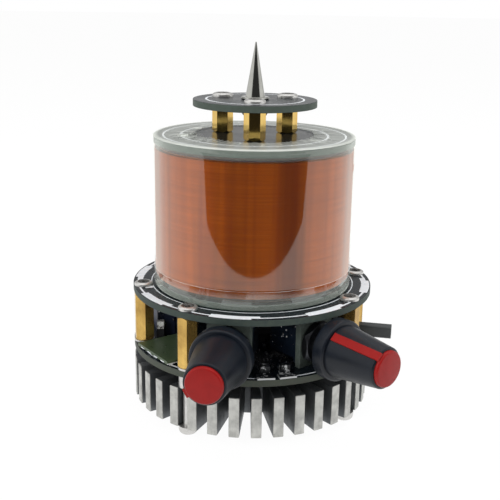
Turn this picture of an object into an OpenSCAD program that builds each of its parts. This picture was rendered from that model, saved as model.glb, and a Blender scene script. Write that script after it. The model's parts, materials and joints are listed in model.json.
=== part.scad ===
// Desktop resonant transformer: a high-frequency air-core transformer on a finned heat sink.
// Millimetres, +Z up, front towards -Y, origin at the centre of the heat sink's flat underside.
// Angles round the object are measured from the front, positive to the right as seen from there.

/* [Boards] */
// Diameter of the driver board and of the coil board above it
board_d = 60; // [58:0.5:66]
// Thickness of every circuit board
pcb_t = 1.6; // [1.2:0.1:2]
// Clear height of the bay between the two round boards
bay_h = 13; // [12.8:0.1:16]
// Distance from a board's edge in to the centres of its six screws
bolt_inset = 2.4; // [2.4:0.1:3]

/* [Heat sink] */
// Diameter over the fins
sink_d = 60; // [58:0.5:66]
// Height of hub and fins
sink_h = 10; // [8:0.5:20]
// Diameter of the solid hub
hub_d = 34; // [30:1:40]
// Number of fins
fin_count = 36; // [36:12:36]
// Share of each pitch that is fin, the rest is gap
fin_share = 0.475; // [0.4:0.005:0.48]
// Height of the spacers between heat sink and driver board
spacer_h = 3; // [2.8:0.1:5]
// Height of the screw heads that serve as feet
foot_h = 2; // [1.6:0.1:3]

/* [Fasteners] */
// Outside diameter of the base screws' thread
screw_d = 2.4; // [2:0.05:2.45]
// Diameter of the base screws' pan heads
head_d = 4.6; // [4.2:0.1:4.8]
// Height of the base screws' pan heads
head_h = 0.9; // [0.8:0.1:2]
// Width across the flats of standoffs
hex_af = 4.5; // [4.4:0.1:5]
// Thickness of the washer under each base standoff
washer_t = 0.5; // [0.3:0.1:0.8]
// Length of thread that a screw has inside a standoff
thread_in = 4; // [3:0.5:5]

/* [Coil] */
// Gap between the end flanges and the heads of the screws round them
flange_gap = 0.8; // [0.3:0.1:1.8]
// Height of the coil from flange to flange, outside faces
coil_h = 36.9; // [30:0.1:50]
// Distance from the flange's edge in to the centre of the outer turns
winding_inset = 0.6; // [0.5:0.1:2]
// Thickness of the tube that the coil is wound on
former_t = 1.9; // [1:0.1:3]
// Diameter of the wire of the outer turns, drawn thicker than life
wire_d = 0.8; // [0.6:0.05:0.8]
// Number of outer turns that are drawn
winding_turns = 24; // [12:1:24]
// Wall of the clear shrink sleeve
sleeve_t = 0.2; // [0.15:0.05:0.3]
// Opening in the sleeve's folded top
sleeve_opening_d = 29; // [27:0.5:34]

/* [Top electrode] */
// Diameter of the small round board that carries the spike
top_disc_d = 30; // [27:0.5:40]
// Radius of the circle of the three top posts
top_bolt_r = 9.2; // [8.6:0.1:9.8]
// Height of the three top posts
top_post_h = 7; // [6.5:0.1:12]
// Outside diameter of the top screws' thread
top_screw_d = 2.9; // [2.4:0.1:3]
// Diameter of the top screws' pan heads
top_head_d = 5.1; // [4.6:0.1:6]
// Height of the top screws' pan heads
top_head_h = 1; // [0.8:0.1:2.4]
// Height of the spike above the disc
spike_h = 13.4; // [10:0.1:20]
// Diameter of the cone where it leaves its collar
spike_d = 4.7; // [4:0.1:6]
// Diameter of the spike's collar
collar_d = 6.9; // [6:0.1:7.5]
// Height of the spike's collar
collar_h = 0.6; // [0.5:0.1:2]

/* [Controls] */
// Direction of the left-hand knob
left_knob_angle = -25; // [-28:1:-24]
// Direction of the right-hand knob
right_knob_angle = 25; // [24:1:28]
// Turn of the right-hand control on its board, away from straight outward
right_skew_angle = 5; // [0:1:6]
// Clock angle of the left knob's pointer, from the top, clockwise from outside
left_pointer_angle = -120; // [-150:5:150]
// Clock angle of the right knob's pointer, from the top, clockwise from outside
right_pointer_angle = -40; // [-150:5:150]
// Height of the knob axes above the driver board
knob_axis_h = 5.7; // [5.5:0.1:6.5]
// Diameter of the knob's skirt
skirt_d = 14.6; // [14:0.1:16]
// Straight height of the skirt
skirt_h = 2.4; // [1.5:0.1:3.5]
// Diameter of the barrel where it leaves the skirt
barrel_d = 12.6; // [11.5:0.1:13]
// Diameter of the barrel at its outer end
barrel_end_d = 9.7; // [9.3:0.1:11]
// Length of the knob without its cap
knob_l = 15.6; // [13:0.1:20]
// Diameter of the red cap
cap_d = 8.5; // [8:0.1:8.8]
// Distance that the cap stands out of the knob
cap_proud = 0.9; // [0.5:0.1:1.5]
// Gap between the boards' edge and the back of the skirt
knob_gap = 0.4; // [0.4:0.1:2]
// Diameter of the control shaft
shaft_d = 6; // [5:0.1:6.2]
// Width of the square switch button
button_w = 3; // [2.5:0.1:3.4]
// Distance that the button stands out past the boards' edge
button_out = 5.85; // [4:0.05:10]
// Travel of the button
button_travel = 2.2; // [1:0.1:3]
// Direction of the switch
switch_angle = 66; // [64:1:70]

/* [Electronics] */
// Outside diameter of the round capacitors
can_d = 8; // [6:0.5:8]
// Height of the round capacitors
can_h = 11; // [8:0.5:11.5]
// Bore of the power socket
socket_bore_d = 6.4; // [6:0.1:6.6]
// Diameter of the power socket's centre pin
socket_pin_d = 2; // [1.9:0.1:2.5]
// Width of the small wireless board
module_w = 14.4; // [12:0.2:14.8]

/* [Hidden] */
$fn = 64;
over = 1;
hole_clear = 0.1;
fit = 0.03;
running_clear = 0.05;
board_r = board_d / 2;
bolt_r = board_r - bolt_inset;
fin_pitch = 360 / fin_count;
gap_half = fin_pitch * (1 - fin_share) / 2;
hub_r = hub_d / 2;

// Levels, from the heat sink's underside up
driver_z = sink_h + spacer_h;
bay_z = driver_z + pcb_t;
coil_board_z = bay_z + bay_h;
coil_z = coil_board_z + pcb_t;
former_z = coil_z + pcb_t;
top_flange_z = coil_z + coil_h - pcb_t;
post_z = coil_z + coil_h;
disc_z = post_z + top_post_h;
disc_top_z = disc_z + pcb_t;
knob_z = bay_z + knob_axis_h;

// The screws from below pass between fins, so their angles are those of the nearest gaps
function gap_at(a) = (floor(a / fin_pitch) + 0.5) * fin_pitch;
front_bolt_angle = 45;
rear_bolt_angle = 135;
sink_bolt_angles = [-gap_at(rear_bolt_angle), -gap_at(front_bolt_angle), gap_at(front_bolt_angle),
    gap_at(rear_bolt_angle)];
side_bolt_angles = [-90, 90];
base_bolt_angles = concat(sink_bolt_angles, side_bolt_angles);
coil_bolt_angles = [0, 120, 240];
// The front post stands towards the viewer's left of the front, as the coil is turned on its board
post_bolt_angles = [-13, 107, 227];

head_rim_share = 0.45;
head_flat_share = 0.6;
recess_l_share = 0.5;
recess_w_share = 0.18;
recess_deep_share = 0.5;
head_steps = 5;
chamfer_share = 0.09;
spacer_d = 4.5;
washer_d = 5;
nut_af = 5;
nut_h = 2;
coil_screw_out = 0.5;
bolt_to_former = 0.3;
spike_nut_af = 5.5;
spike_nut_h = 2.4;
spike_shank_d = 3;
spike_shank_out = 1;
tip_d = 0.3;

loop_rings = 24;
wire_sides = 6;
flange_d = 2 * (bolt_r - head_d / 2 - flange_gap);
winding_r = flange_d / 2 - winding_inset;
wire_sag = winding_r * (1 - cos(180 / loop_rings));
bend_r = 0.6;
bend_steps = 3;
core_r = winding_r - wire_d / 2 - wire_sag - hole_clear;
core_t = 0.5;
winding_z = former_z + wire_d + bend_r;
winding_top_z = top_flange_z - wire_d - bend_r;
turn_pitch = (winding_top_z - winding_z) / winding_turns;
former_r = core_r - core_t;
coil_bolt_r = former_r - former_t - head_d / 2 - bolt_to_former;
sleeve_r = flange_d / 2 + hole_clear + sleeve_t;
sleeve_lift = 0.2;

pot_setback = 6.8;
pot_face = board_r - pot_setback;
pot_board_w = 10.6;
pot_w = 9.8;
pot_plate_t = 1;
pot_depth = 9;
pot_chamfer = 1.2;
bushing_d = 7;
bushing_l = 5;
bushing_flange_t = 0.6;
bushing_flange_d = 9;
pot_nut_af = 10;
pot_nut_h = 2;
shaft_start = 0.3;
shaft_flat = 1.5;
knob_back = board_r + knob_gap;
knob_wall = 1;
boss_d = 8.6;
cavity_deep = 8;
bore_deep = 13;
shaft_end_gap = 0.3;
round_r = 0.6;
rim_round_r = 0.4;
round_steps = 4;
cap_seat = 1.2;
cap_round_r = 0.5;
pointer_w = 2;
pointer_deep = 0.7;
pointer_proud = 0.15;
pointer_start = 0.2;

switch_setback = 4.7;
switch_l = 10.3;
switch_w = 7;
switch_wall = 1.2;
shoulder_w = 4;
shoulder_l = 1.5;
stop_gap = 0.1;
button_chamfer = 0.3;

socket_w = 9;
socket_h = 11;
socket_l = 14;
socket_collar_l = 3.5;
socket_step = 1;
socket_bore_l = 9.5;
socket_pin_l = 8.5;
socket_pin_root = 1.5;
socket_axis_h = 6.5;
socket_out = 0.4;

lead_d = 0.7;
lead_out = 1;
can_place_shares = [0.317, 0.548];
film_place_shares = [0.72, 0.242];
film_w = 5;
film_l = 11.5;
film_h = 9;
film_chamfer = 0.5;
inductor_w = 12;
inductor_h = 6.5;
inductor_rim = 1;
inductor_groove = 0.4;
inductor_place_share = 0.2;
chip_place_share = -0.13;
chip_w = 6.4;
chip_l = 9.4;
chip_h = 3;
chip_seat = 0.5;
chip_draft = 0.4;
chip_leg_w = 1.2;
chip_leg_t = 0.3;
chip_legs = 4;
chip_leg_spacing = 2.54;

module_angle = -67.5;
module_inset = 0.8;
module_l = 11;
module_t = 0.8;
module_lift = 0.3;
module_pads = 5;
module_pad_w = 1;
terminal_angles = [-6, 4];
terminal_inset = 0.1;
terminal_w = 4.1;
terminal_l = 2.1;
terminal_t = 0.5;
terminal_body_w = 2.2;
terminal_body_l = 2;
terminal_body_h = 2.4;
terminal_stud_d = 0.8;
terminal_stud_h_share = 0.45;
terminal_stud_out = 0.25;

transistor_place_share = 0.27;
transistor_w = 6.6;
transistor_l = 6.1;
pad_t = 0.7;
pad_margin = 1;
leg_l = 2.6;
leg_w = 0.9;
leg_t = 0.6;
leg_spacing = 2.3;

// Turns a child that points along +X so that it points outward in the direction a
module toward(a) rotate([0, 0, a - 90]) children();

// Plan position at distance d outward in the direction a, and s to the right of that line
function spot(a, d, s = 0) = [d * sin(a) + s * cos(a), s * sin(a) - d * cos(a)];

// Points of a quarter of an ellipse about c, from angle a0 to a1
function arc(c, rx, ry, a0, a1, n) =
    [for (i = [0 : n]) c + [rx * cos(a0 + (a1 - a0) * i / n), ry * sin(a0 + (a1 - a0) * i / n)]];

// Pan head with a cross recess, its seat at z = 0
module pan_head(d, h) {
    r = d / 2;
    flat_r = r * head_flat_share;
    rim_h = h * head_rim_share;
    deep = h * recess_deep_share;
    difference() {
        rotate_extrude()
            polygon(concat([[0, 0], [r, 0]],
                arc([flat_r, rim_h], r - flat_r, h - rim_h, 0, 90, head_steps), [[0, h]]));
        for (a = [0, 90])
            rotate([0, 0, a])
                translate([-d * recess_l_share / 2, -d * recess_w_share / 2, h - deep])
                    cube([d * recess_l_share, d * recess_w_share, deep + over]);
    }
}

// Screw with its seat at z = 0, head up and thread down
module machine_screw(d, l, wide, high) {
    pan_head(wide, high);
    translate([0, 0, -l]) cylinder(d = d, h = l);
}

// Six-sided bar with bevelled corners and a through bore
module hex_piece(af, h, bore_d) {
    corner_r = af / 2 / cos(30);
    c = af * chamfer_share;
    difference() {
        intersection() {
            cylinder(r = corner_r, h = h, $fn = 6);
            rotate_extrude()
                polygon([[0, 0], [corner_r - c, 0], [corner_r, c], [corner_r, h - c],
                    [corner_r - c, h], [0, h]]);
        }
        translate([0, 0, -over]) cylinder(d = bore_d, h = h + 2 * over);
    }
}

module ring(outer_d, bore_d, h) difference() {
    cylinder(d = outer_d, h = h);
    translate([0, 0, -over]) cylinder(d = bore_d, h = h + 2 * over);
}

// Block with its four upright edges bevelled, centred in plan
module bevelled_block(l, w, h, c) linear_extrude(h)
    polygon([[-l / 2 + c, -w / 2], [l / 2 - c, -w / 2], [l / 2, -w / 2 + c], [l / 2, w / 2 - c],
        [l / 2 - c, w / 2], [-l / 2 + c, w / 2], [-l / 2, w / 2 - c], [-l / 2, -w / 2 + c]]);

module at_bolts(angles, r, z) for (a = angles)
    translate(concat(spot(a, r), [z])) rotate(a) children();

module drill(angles, r, d) at_bolts(angles, r, -over) cylinder(d = d, h = pcb_t + 2 * over);

// Heat sink

module fin_gap() translate([0, 0, -over]) linear_extrude(sink_h + 2 * over) {
    out_r = sink_d / 2 + over;
    polygon([[hub_r * cos(gap_half), -hub_r * sin(gap_half)],
        [out_r * cos(gap_half), -out_r * sin(gap_half)],
        [out_r * cos(gap_half), out_r * sin(gap_half)],
        [hub_r * cos(gap_half), hub_r * sin(gap_half)]]);
}

module heat_sink() color("silver") difference() {
    cylinder(d = sink_d, h = sink_h);
    for (i = [0 : fin_count - 1]) rotate([0, 0, (i + 0.5) * fin_pitch]) fin_gap();
}

module foot_screws() color("gainsboro") at_bolts(sink_bolt_angles, bolt_r, 0) rotate([180, 0, 0])
    machine_screw(screw_d, sink_h + spacer_h + pcb_t + washer_t + thread_in, head_d, foot_h);

module sink_spacers() color("gainsboro") at_bolts(sink_bolt_angles, bolt_r, sink_h)
    ring(spacer_d, screw_d + 2 * hole_clear, spacer_h);

module at_transistors() for (s = [-1, 1])
    translate([s * board_r * transistor_place_share, 0, sink_h]) children();

module thermal_pads() color("lightblue") at_transistors()
    translate([-transistor_w / 2 - pad_margin, -transistor_l / 2 - pad_margin, 0])
        cube([transistor_w + 2 * pad_margin, transistor_l + 2 * pad_margin, pad_t]);

module power_transistors() color("dimgray") at_transistors() {
    translate([0, 0, pad_t]) bevelled_block(transistor_w, transistor_l, spacer_h - pad_t, fit);
    for (s = [-1, 1])
        translate([s * leg_spacing - leg_w / 2, -transistor_l / 2 - leg_l, spacer_h - leg_t])
            cube([leg_w, leg_l + fit, leg_t]);
}

// Boards, standoffs and their screws

module driver_board() color("darkslategray") translate([0, 0, driver_z]) difference() {
    cylinder(d = board_d, h = pcb_t);
    drill(base_bolt_angles, bolt_r, screw_d + 2 * hole_clear);
    for (p = leads)
        translate([p.x, p.y, -over]) cylinder(d = lead_d + 2 * hole_clear, h = pcb_t + 2 * over);
}

module side_screws() color("gainsboro") at_bolts(side_bolt_angles, bolt_r, driver_z) rotate([180, 0, 0])
    machine_screw(screw_d, pcb_t + washer_t + thread_in, head_d, head_h);

module standoff_washers() color("gainsboro") at_bolts(base_bolt_angles, bolt_r, bay_z)
    ring(washer_d, screw_d + 2 * hole_clear, washer_t);

module base_standoffs() color("goldenrod") at_bolts(base_bolt_angles, bolt_r, bay_z + washer_t)
    hex_piece(hex_af, bay_h - washer_t, screw_d + 2 * fit);

module coil_board() color("darkslategray") translate([0, 0, coil_board_z]) difference() {
    cylinder(d = board_d, h = pcb_t);
    drill(base_bolt_angles, bolt_r, screw_d + 2 * hole_clear);
    drill(coil_bolt_angles, coil_bolt_r, screw_d + 2 * hole_clear);
}

module coil_board_screws() color("gainsboro") at_bolts(base_bolt_angles, bolt_r, coil_z)
    machine_screw(screw_d, pcb_t + thread_in, head_d, head_h);

module coil_mount_screws() color("gainsboro") at_bolts(coil_bolt_angles, coil_bolt_r, former_z)
    machine_screw(screw_d, 2 * pcb_t + nut_h + coil_screw_out, head_d, head_h);

module coil_mount_nuts() color("gainsboro") at_bolts(coil_bolt_angles, coil_bolt_r, coil_board_z - nut_h)
    hex_piece(nut_af, nut_h, screw_d + 2 * fit);

// Coil

module bottom_flange() color("darkolivegreen") translate([0, 0, coil_z]) difference() {
    cylinder(d = flange_d, h = pcb_t);
    drill(coil_bolt_angles, coil_bolt_r, screw_d + 2 * hole_clear);
}

module coil_former() color("dimgray") translate([0, 0, former_z])
    ring(2 * former_r, 2 * (former_r - former_t), top_flange_z - former_z);

module secondary_core() color("saddlebrown") translate([0, 0, winding_z - wire_d / 2])
    ring(2 * core_r, 2 * former_r, winding_top_z - winding_z + wire_d);

// A point on the winding's centre line, at the angle a and the height z
function on_coil(a, z) = [winding_r * sin(a), -winding_r * cos(a), z];
// The angle that the distance l along the coil's surface covers
function angle_of(l) = l / winding_r * 180 / PI;

// Stations of the wire as [angle, height, steepness]: up out of the lower flange, round a bend,
// round the coil, and by a second bend up into the upper flange
turns_angle = 360 * winding_turns;
bend_in = [for (i = [0 : bend_steps]) let (b = 90 * (1 - i / bend_steps))
    [-angle_of(bend_r * sin(b)), winding_z - bend_r * (1 - cos(b)), b]];
bend_out = [for (i = [0 : bend_steps]) let (b = 90 * i / bend_steps)
    [turns_angle + angle_of(bend_r * sin(b)), winding_top_z + bend_r * (1 - cos(b)), b]];
coil_stations = [for (i = [1 : winding_turns * loop_rings - 1])
    [i * 360 / loop_rings, winding_z + i * turn_pitch / loop_rings,
        atan(turn_pitch / (2 * PI * winding_r))]];
stations = concat([[bend_in[0][0], former_z, 90]], bend_in, coil_stations, bend_out,
    [[bend_out[bend_steps][0], top_flange_z, 90]]);

// Corners of the wire's section at one station, square to the wire's run
function wire_ring(s) = let (
        c = on_coil(s[0], s[1]),
        out = [sin(s[0]), -cos(s[0]), 0],
        up = [-cos(s[0]) * sin(s[2]), -sin(s[0]) * sin(s[2]), cos(s[2])])
    [for (k = [0 : wire_sides - 1])
        c + wire_d / 2 * (cos(360 * k / wire_sides) * out + sin(360 * k / wire_sides) * up)];

// Closed tube over rings that each have m corners
function tube_faces(n, m) = concat(
    [[for (k = [m - 1 : -1 : 0]) k]],
    [for (i = [0 : n - 2]) for (k = [0 : m - 1]) let (a = i * m + k, b = i * m + (k + 1) % m)
        each [[a, b, b + m], [a, b + m, a + m]]],
    [[for (k = [0 : m - 1]) (n - 1) * m + k]]);

wire_line = [for (s = stations) on_coil(s[0], s[1])];
echo(least_wire_gap = min([for (i = [0 : len(wire_line) - loop_rings - 2]) for (j = [-1 : 1])
    norm(wire_line[i + loop_rings + j] - wire_line[i])]) - wire_d);

module secondary_winding() color("chocolate")
    polyhedron([for (s = stations) each wire_ring(s)], tube_faces(len(stations), wire_sides), 10);

module shrink_sleeve() color("gainsboro", 0.3) translate([0, 0, coil_z]) rotate_extrude()
    polygon([[sleeve_r - sleeve_t, sleeve_lift], [sleeve_r, sleeve_lift],
        [sleeve_r, coil_h + hole_clear], [sleeve_r - sleeve_t, coil_h + hole_clear + sleeve_t],
        [sleeve_opening_d / 2, coil_h + hole_clear + sleeve_t],
        [sleeve_opening_d / 2, coil_h + hole_clear], [sleeve_r - sleeve_t, coil_h + hole_clear]]);

module top_flange() color("darkolivegreen") translate([0, 0, top_flange_z]) difference() {
    cylinder(d = flange_d, h = pcb_t);
    drill(post_bolt_angles, top_bolt_r, top_screw_d + 2 * hole_clear);
}

// Top electrode

module top_standoffs() color("goldenrod") at_bolts(post_bolt_angles, top_bolt_r, post_z)
    hex_piece(hex_af, top_post_h, top_screw_d + 2 * fit);

top_thread_in = top_post_h / 2 - over / 2;

module top_flange_screws() color("gainsboro") at_bolts(post_bolt_angles, top_bolt_r, top_flange_z)
    rotate([180, 0, 0]) machine_screw(top_screw_d, pcb_t + top_thread_in, top_head_d, top_head_h);

module top_disc() color("darkslategray") translate([0, 0, disc_z]) difference() {
    cylinder(d = top_disc_d, h = pcb_t);
    drill(post_bolt_angles, top_bolt_r, top_screw_d + 2 * hole_clear);
    translate([0, 0, -over]) cylinder(d = spike_shank_d + 2 * hole_clear, h = pcb_t + 2 * over);
}

module top_disc_screws() color("gainsboro") at_bolts(post_bolt_angles, top_bolt_r, disc_top_z)
    machine_screw(top_screw_d, pcb_t + top_thread_in, top_head_d, top_head_h);

module discharge_spike() color("silver") translate([0, 0, disc_top_z]) {
    shank_l = pcb_t + spike_nut_h + spike_shank_out;
    c = collar_h * head_rim_share;
    rotate_extrude()
        polygon([[0, -shank_l], [spike_shank_d / 2, -shank_l], [spike_shank_d / 2, 0],
            [collar_d / 2 - c, 0], [collar_d / 2, c], [collar_d / 2, collar_h - c],
            [collar_d / 2 - c, collar_h], [spike_d / 2, collar_h], [tip_d / 2, spike_h], [0, spike_h]]);
}

module spike_nut() color("silver") translate([0, 0, disc_z - spike_nut_h])
    hex_piece(spike_nut_af, spike_nut_h, spike_shank_d + 2 * fit);

// Controls: each is drawn along +Z from the face of its upright board, then laid outward

// Carries children from the frame of a control to its place: z outward, -x up, y to the right
module control(a, skew) toward(a) translate([pot_face, 0, knob_z]) rotate([0, 0, skew])
    rotate([0, 90, 0]) children();

module pot_board(a, skew) color("darkslategray") control(a, skew) difference() {
    translate([knob_axis_h - bay_h, -pot_board_w / 2, 0]) cube([bay_h, pot_board_w, pcb_t]);
    translate([0, 0, -over]) cylinder(d = bushing_d + 2 * hole_clear, h = pcb_t + 2 * over);
}

module pot_body(a, skew) color("darkgreen") control(a, skew) difference() {
    union() {
        translate([0, 0, -pot_depth])
            bevelled_block(pot_w, pot_w, pot_depth - pot_plate_t, pot_chamfer);
        translate([-pot_w / 2, -pot_w / 2, -pot_plate_t]) cube([pot_w, pot_w, pot_plate_t]);
    }
    translate([0, 0, -bushing_flange_t]) cylinder(d = bushing_flange_d + 2 * fit, h = pot_plate_t);
}

module pot_bushing(a, skew) color("silver") control(a, skew) difference() {
    union() {
        translate([0, 0, -bushing_flange_t]) cylinder(d = bushing_flange_d, h = bushing_flange_t);
        cylinder(d = bushing_d, h = bushing_l);
    }
    translate([0, 0, -pot_plate_t]) cylinder(d = shaft_d + 2 * running_clear, h = bushing_l + 2 * over);
}

module pot_nut(a, skew) color("silver") control(a, skew) translate([0, 0, pcb_t])
    hex_piece(pot_nut_af, pot_nut_h, bushing_d + 2 * fit);

// Round bar with a flat on the side away from the pointer
module flatted_bar(d, flat, l) intersection() {
    cylinder(d = d, h = l);
    translate([-flat, -d, -over]) cube([2 * d, 2 * d, l + 2 * over]);
}

knob_off = knob_back - pot_face;
shaft_l = knob_off + bore_deep - shaft_end_gap;

module pot_shaft(a, skew, pointer) color("silver") control(a, skew) rotate([0, 0, 180 - pointer]) {
    translate([0, 0, shaft_start - bushing_flange_t]) cylinder(d = shaft_d, h = bushing_l);
    translate([0, 0, shaft_start - bushing_flange_t + bushing_l])
        flatted_bar(shaft_d, shaft_flat, shaft_l - bushing_l + bushing_flange_t - shaft_start);
}

barrel_z = skirt_h + round_r;
function barrel_r_at(z) = (barrel_d + (barrel_end_d - barrel_d) * (z - barrel_z) / (knob_l - barrel_z)) / 2;

// Side view of the pointer's tongue, grown by g on every side that meets the knob
function tongue(g, top) = [[barrel_r_at(barrel_z) - pointer_deep - g, barrel_z + pointer_start - g],
    [barrel_r_at(barrel_z) + pointer_proud + g, barrel_z + pointer_start - g],
    [barrel_end_d / 2 + pointer_proud + g, knob_l], [barrel_end_d / 2 + g, top],
    [cap_d / 2 - pointer_deep, top], [cap_d / 2 - pointer_deep, knob_l - cap_seat - g],
    [barrel_end_d / 2 - pointer_deep - g, knob_l - cap_seat - g]];

module tongue_bar(g, top) rotate([90, 0, 0])
    linear_extrude(pointer_w + 2 * g, center = true) polygon(tongue(g, top));

module knob(a, skew, pointer) color("black") control(a, skew) translate([0, 0, knob_off])
rotate([0, 0, 180 - pointer]) difference() {
    rotate_extrude()
        polygon(concat([[0, 0], [skirt_d / 2, 0]],
            arc([skirt_d / 2 - round_r, skirt_h], round_r, round_r, 0, 90, round_steps),
            [[barrel_d / 2, barrel_z]],
            arc([barrel_end_d / 2 - rim_round_r, knob_l - rim_round_r], rim_round_r, rim_round_r,
                0, 90, round_steps), [[0, knob_l]]));
    rotate_extrude()
        polygon([[boss_d / 2, -over], [skirt_d / 2 - knob_wall, -over],
            [skirt_d / 2 - knob_wall, skirt_h - round_r], [barrel_d / 2 - knob_wall, barrel_z],
            [barrel_r_at(cavity_deep) - knob_wall, cavity_deep], [boss_d / 2, cavity_deep]]);
    translate([0, 0, -over])
        flatted_bar(shaft_d + 2 * fit, shaft_flat + fit, bore_deep + over);
    translate([0, 0, knob_l - cap_seat]) cylinder(d = cap_d + 2 * fit, h = cap_seat + over);
    tongue_bar(fit, knob_l + over);
}

module knob_cap(a, skew, pointer) color("firebrick") control(a, skew)
translate([0, 0, knob_off]) rotate([0, 0, 180 - pointer]) {
    translate([0, 0, knob_l - cap_seat]) rotate_extrude()
        polygon(concat([[0, 0], [cap_d / 2, 0]],
            arc([cap_d / 2 - cap_round_r, cap_seat + cap_proud - cap_round_r], cap_round_r,
                cap_round_r, 0, 90, round_steps), [[0, cap_seat + cap_proud]]));
    tongue_bar(0, knob_l + cap_proud - cap_round_r);
}

module left_pot_board() pot_board(left_knob_angle, 0);
module left_pot_body() pot_body(left_knob_angle, 0);
module left_pot_bushing() pot_bushing(left_knob_angle, 0);
module left_pot_nut() pot_nut(left_knob_angle, 0);
module left_pot_shaft() pot_shaft(left_knob_angle, 0, left_pointer_angle);
module left_knob() knob(left_knob_angle, 0, left_pointer_angle);
module left_knob_cap() knob_cap(left_knob_angle, 0, left_pointer_angle);
module right_pot_board() pot_board(right_knob_angle, right_skew_angle);
module right_pot_body() pot_body(right_knob_angle, right_skew_angle);
module right_pot_bushing() pot_bushing(right_knob_angle, right_skew_angle);
module right_pot_nut() pot_nut(right_knob_angle, right_skew_angle);
module right_pot_shaft() pot_shaft(right_knob_angle, right_skew_angle, right_pointer_angle);
module right_knob() knob(right_knob_angle, right_skew_angle, right_pointer_angle);
module right_knob_cap() knob_cap(right_knob_angle, right_skew_angle, right_pointer_angle);

// Switch, drawn with x outward, from its front face

switch_face = board_r - switch_setback;
cavity_w = shoulder_w + 2 * hole_clear;

module at_switch() toward(switch_angle) translate([switch_face, 0, bay_z + switch_w / 2]) children();

module square_bar(x, l, w) translate([x, -w / 2, -w / 2]) cube([l, w, w]);

module switch_body() color("dimgray") at_switch() difference() {
    translate([-switch_l / 2, 0, -switch_w / 2])
        bevelled_block(switch_l, switch_w, switch_w, button_chamfer);
    square_bar(-switch_wall - over, switch_wall + 2 * over, button_w + 2 * hole_clear);
    square_bar(-switch_wall - stop_gap - shoulder_l - button_travel - stop_gap,
        shoulder_l + button_travel + 2 * stop_gap, cavity_w);
}

module switch_button() color("black") at_switch() {
    square_bar(-switch_wall - stop_gap - shoulder_l, shoulder_l, shoulder_w);
    intersection() {
        square_bar(-switch_wall - 2 * stop_gap, switch_wall + 2 * stop_gap + switch_setback + button_out,
            button_w);
        translate([switch_setback + button_out, 0, 0]) rotate([0, -90, 0])
            bevelled_block(button_w, button_w, switch_l + switch_setback + button_out, button_chamfer);
    }
}

// Power socket, mouth to the back

module at_socket() toward(180) translate([board_r + socket_out, 0, bay_z]) children();

module power_socket() color("black") at_socket() difference() {
    union() {
        translate([-socket_collar_l, -socket_w / 2, 0]) cube([socket_collar_l, socket_w, socket_h]);
        translate([-socket_l, -socket_w / 2, 0])
            cube([socket_l - socket_collar_l / 2, socket_w, socket_h - socket_step]);
    }
    translate([-socket_bore_l, 0, socket_axis_h]) rotate([0, 90, 0])
        cylinder(d = socket_bore_d, h = socket_bore_l + over);
    translate([-socket_bore_l - socket_pin_root, 0, socket_axis_h]) rotate([0, 90, 0])
        cylinder(d = socket_pin_d + 2 * fit, h = socket_pin_root + over);
}

module socket_pin() color("silver") at_socket()
    translate([-socket_bore_l - socket_pin_root, 0, socket_axis_h]) rotate([0, 90, 0]) rotate_extrude()
        polygon(concat([[0, 0], [socket_pin_d / 2, 0]],
            arc([0, socket_pin_root + socket_pin_l - socket_pin_d / 2], socket_pin_d / 2,
                socket_pin_d / 2, 0, 90, round_steps)));

// Parts on the driver board

function mirrored(p) = [[-p.x, p.y], [p.x, p.y]];
can_places = mirrored(board_r * can_place_shares);
film_places = mirrored(board_r * film_place_shares);
inductor_place = [0, board_r * inductor_place_share];

module on_driver(p) translate([p.x, p.y, bay_z]) children();

module round_capacitors() color("black") for (p = can_places) on_driver(p) rotate_extrude() {
    r = can_d / 2;
    g = can_d / 16;
    polygon([[0, 0], [r - g, 0], [r, g], [r, 2 * g], [r - g / 2, 3 * g], [r, 4 * g],
        [r, can_h - g], [r - g, can_h], [r - 2 * g, can_h - g / 2], [0, can_h - g / 2]]);
}

module film_capacitors() color("firebrick") for (p = film_places) on_driver(p)
    bevelled_block(film_w, film_l, film_h, film_chamfer);

module storage_inductor() color("dimgray") on_driver(inductor_place) difference() {
    bevelled_block(inductor_w, inductor_w, inductor_h, inductor_w / 6);
    translate([0, 0, inductor_h - inductor_groove])
        ring(inductor_w - 2 * inductor_rim, inductor_w - 4 * inductor_rim, over);
}

module driver_chip() color("dimgray") translate([0, board_r * chip_place_share, bay_z + chip_seat]) {
    rotate([90, 0, 90]) translate([0, 0, -chip_l / 2]) linear_extrude(chip_l)
        polygon([[-chip_w / 2 + chip_draft, 0], [chip_w / 2 - chip_draft, 0], [chip_w / 2, chip_h / 2],
            [chip_w / 2 - chip_draft, chip_h], [-chip_w / 2 + chip_draft, chip_h], [-chip_w / 2, chip_h / 2]]);
    for (i = [0 : chip_legs - 1]) for (s = [-1, 1])
        translate([(i - (chip_legs - 1) / 2) * chip_leg_spacing - chip_leg_w / 2, 0, 0]) {
            leg_y = s * chip_w / 2 - chip_leg_t / 2;
            translate([0, leg_y, -chip_seat])
                cube([chip_leg_w, chip_leg_t, chip_seat + chip_h / 2 + chip_leg_t]);
        }
}

module wireless_module() color("darkolivegreen") toward(module_angle)
translate([board_r - module_inset - module_l, 0, bay_z]) {
    translate([0, -module_w / 2, module_lift]) cube([module_l, module_w, module_t]);
    for (s = [-1, 1]) for (i = [0 : module_pads - 1])
        translate([(i + 0.5) * module_l / module_pads - module_pad_w / 2,
            s * (module_w - module_pad_w) / 2 - module_pad_w / 2, 0])
            cube([module_pad_w, module_pad_w, module_lift]);
}

module board_terminals() color("lightgray") for (a = terminal_angles) toward(a)
translate([board_r - terminal_inset - terminal_l, 0, bay_z]) {
    translate([0, -terminal_w / 2, 0]) cube([terminal_l, terminal_w, terminal_t]);
    translate([-terminal_body_l, -terminal_body_w / 2, 0])
        cube([terminal_body_l, terminal_body_w, terminal_body_h]);
    translate([0, 0, terminal_body_h * terminal_stud_h_share]) rotate([0, 90, 0])
        cylinder(d = terminal_stud_d, h = terminal_stud_out);
}

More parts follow.
